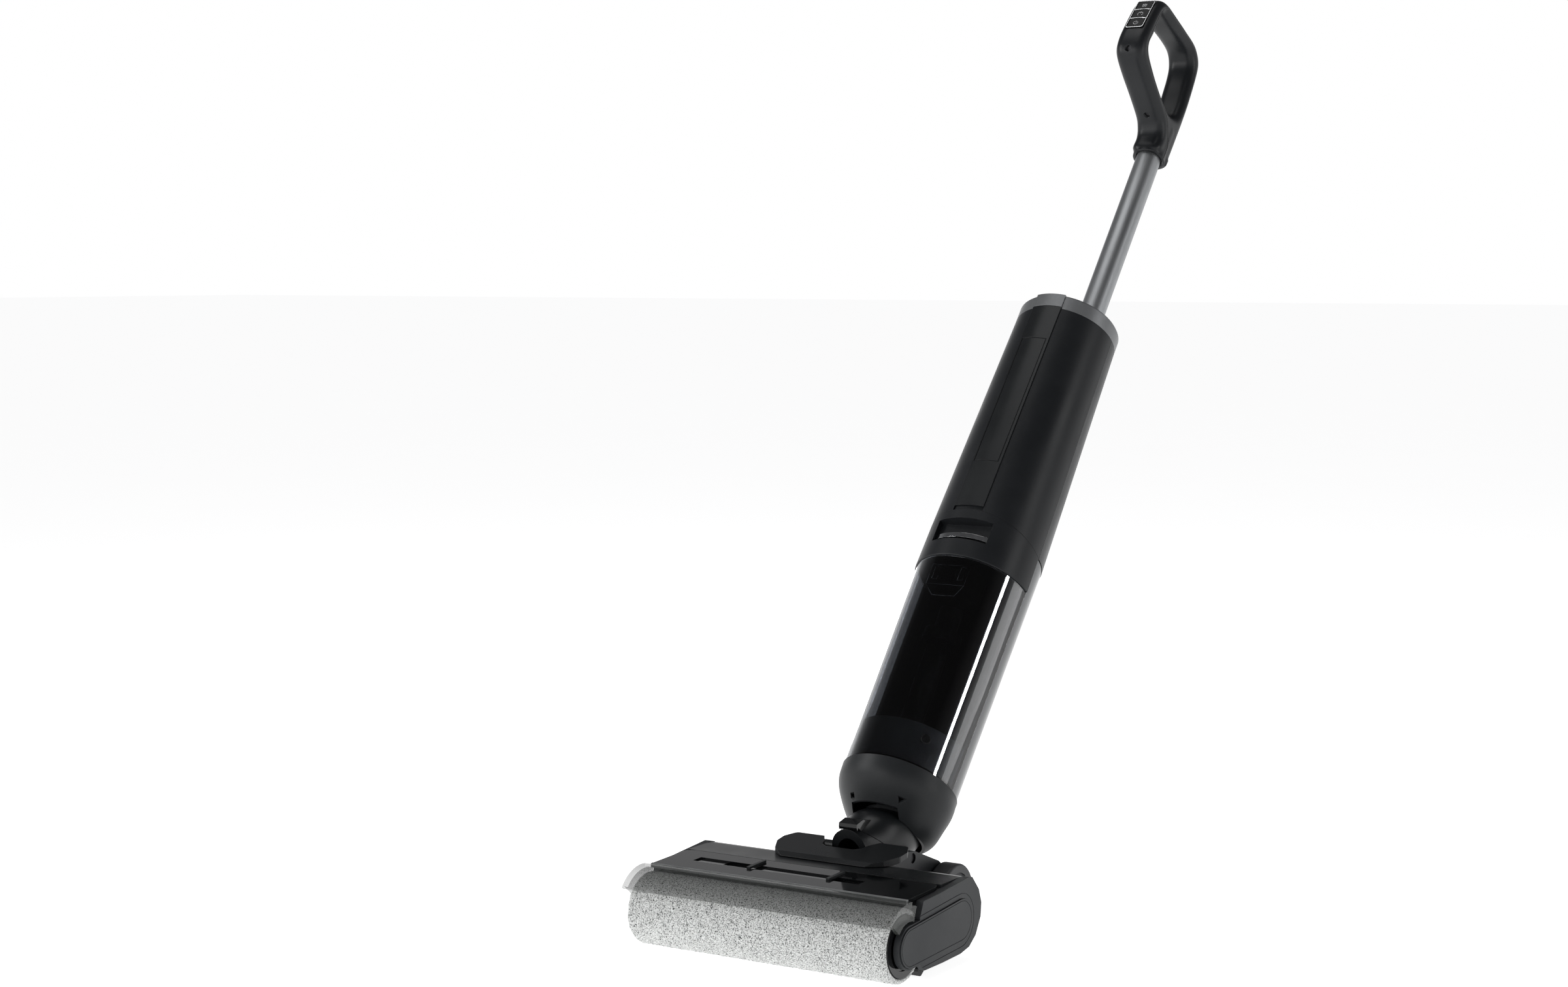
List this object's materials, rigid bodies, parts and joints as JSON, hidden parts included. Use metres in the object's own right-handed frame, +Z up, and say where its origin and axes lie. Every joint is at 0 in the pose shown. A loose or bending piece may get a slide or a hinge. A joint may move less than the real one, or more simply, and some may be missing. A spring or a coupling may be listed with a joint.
{
  "type": "wet dry floor scrubber",
  "caption": "Upright cordless floor washer with a front microfibre roller, smoked tanks stacked in a leaning round body, a thin metal tube and a looped handle with buttons.",
  "frame": {"origin": "on the floor, under the middle of the whole machine's bounding box, in its leaned back working pose", "axes": "+Z up, -Y the way it is pushed, roller first, +X towards the end of the floor head that has the belt cover"},
  "size_m": [0.2764, 0.8539, 0.8706],
  "materials": {
    "shell_dark": "satin dark grey moulded plastic",
    "shell_black": "satin charcoal black moulded plastic",
    "trim_grey": "satin mid grey trim",
    "gloss_black": "glossy black plastic",
    "smoked": "glossy smoked clear plastic",
    "hood_smoke": "smoked clear plastic",
    "fibre": "light grey microfibre with dark flecks",
    "tube_metal": "brushed aluminium tube",
    "steel": "plain steel",
    "chrome": "bright trim",
    "rubber": "soft black rubber",
    "grey_rubber": "dark grey soft tread",
    "inner": "plain inner moulding",
    "board": "green circuit board",
    "cell_wrap": "blue wrapped battery pack"
  },
  "bodies": {
    "floor_head": {"chassis": "shell_dark", "head_cover": "gloss_black", "arm_right": "shell_dark", "belt_cover": "shell_dark", "arm_left": "shell_dark", "drive_belt": "rubber", "brush_motor": "steel", "suction_duct": "inner", "scraper": "rubber", "boss_plate": "shell_black", "rear_carrier": "shell_black", "pivot_pins": "steel", "wheel_axles": "steel"},
    "roller_cover": {"hood": "hood_smoke", "front_seal": "rubber", "window_panel": "smoked", "cover_clips": "shell_dark"},
    "roller": {"roller_sleeve": "fibre", "roller_core": "inner", "roller_caps": "gloss_black", "roller_pulley": "inner"},
    "brush_drive": {"motor_pulley": "inner"},
    "wheel_right": {"tyre_right": "grey_rubber", "hub_right": "shell_dark"},
    "wheel_left": {"tyre_left": "grey_rubber", "hub_left": "shell_dark"},
    "knuckle": {"knuckle": "shell_black"},
    "upright": {"neck": "shell_black", "neck_collar": "inner", "latch_block": "gloss_black", "bowl": "shell_dark", "spine": "inner", "front_housing": "shell_black", "front_strip": "gloss_black", "strip_cap": "trim_grey", "rear_housing": "shell_black", "top_ring": "trim_grey", "tube": "tube_metal", "tube_socket": "inner", "fan_motor": "steel", "battery_pack": "cell_wrap", "control_board": "board", "handle_front": "shell_black", "handle_rear": "shell_black", "button_bezel": "chrome", "handle_screws": "steel"},
    "fan_wheel": {"impeller": "inner"},
    "dirty_tank": {"dirty_tank": "smoked", "base_cup": "gloss_black", "cup_plug": "gloss_black", "riser_tube": "inner", "filter_cage": "inner", "tank_head": "shell_black"},
    "float": {"float_ring": "trim_grey"},
    "tank_release": {"release_bar": "trim_grey"},
    "clean_tank": {"clean_tank": "smoked", "clean_cap": "rubber"},
    "button_low": {"button_low": "gloss_black"},
    "button_middle": {"button_middle": "gloss_black"},
    "button_top": {"button_top": "gloss_black"}
  },
  "joints": [
    {"name": "cover_lift", "type": "slide", "parent": "floor_head", "child": "roller_cover", "axis": [0, 0, 1], "range_m": [0, 0.06]},
    {"name": "roller_spin", "type": "hinge", "parent": "floor_head", "child": "roller", "pos_m": [0, -0.3946, 0.0323], "axis": [1, 0, 0], "continuous": true},
    {"name": "motor_spin", "type": "hinge", "parent": "floor_head", "child": "brush_drive", "pos_m": [0, -0.3101, 0.038], "axis": [1, 0, 0], "continuous": true},
    {"name": "wheel_right_spin", "type": "hinge", "parent": "floor_head", "child": "wheel_right", "pos_m": [0.0635, -0.1996, 0.029], "axis": [1, 0, 0], "continuous": true},
    {"name": "wheel_left_spin", "type": "hinge", "parent": "floor_head", "child": "wheel_left", "pos_m": [-0.0635, -0.1996, 0.029], "axis": [1, 0, 0], "continuous": true},
    {"name": "recline", "type": "hinge", "parent": "floor_head", "child": "knuckle", "pos_m": [0, -0.2476, 0.07], "axis": [1, 0, 0], "range_deg": [-10, 38.9]},
    {"name": "swivel", "type": "hinge", "parent": "knuckle", "child": "upright", "pos_m": [0, -0.2441, 0.0761], "axis": [0, 0.628, 0.7782], "range_deg": [-20, 20]},
    {"name": "fan_spin", "type": "hinge", "parent": "upright", "child": "fan_wheel", "pos_m": [0, -0.00341, 0.33931], "axis": [0, 0.628, 0.7782], "continuous": true},
    {"name": "dirty_tank_out", "type": "slide", "parent": "upright", "child": "dirty_tank", "axis": [0, -0.7782, 0.628], "range_m": [0, 0.12]},
    {"name": "float_rise", "type": "slide", "parent": "dirty_tank", "child": "float", "axis": [0, 0.628, 0.7782], "range_m": [0, 0.024]},
    {"name": "release_squeeze", "type": "slide", "parent": "dirty_tank", "child": "tank_release", "axis": [0, 0.628, 0.7782], "range_m": [0, 0.004], "stiffness_N_per_m": 800, "springref_m": -0.001},
    {"name": "clean_tank_out", "type": "slide", "parent": "upright", "child": "clean_tank", "axis": [0, 0.7782, -0.628], "range_m": [0, 0.12]},
    {"name": "press_low", "type": "slide", "parent": "upright", "child": "button_low", "axis": [0, 0.6719, -0.7407], "range_m": [0, 0.0012], "stiffness_N_per_m": 1500, "springref_m": -0.0003},
    {"name": "press_middle", "type": "slide", "parent": "upright", "child": "button_middle", "axis": [0, 0.6719, -0.7407], "range_m": [0, 0.0012], "stiffness_N_per_m": 1500, "springref_m": -0.0003},
    {"name": "press_top", "type": "slide", "parent": "upright", "child": "button_top", "axis": [0, 0.6719, -0.7407], "range_m": [0, 0.0012], "stiffness_N_per_m": 1500, "springref_m": -0.0003}
  ],
  "couplings": [
    {"joint": "motor_spin", "follows": "roller_spin", "ratio": 1.625}
  ]
}
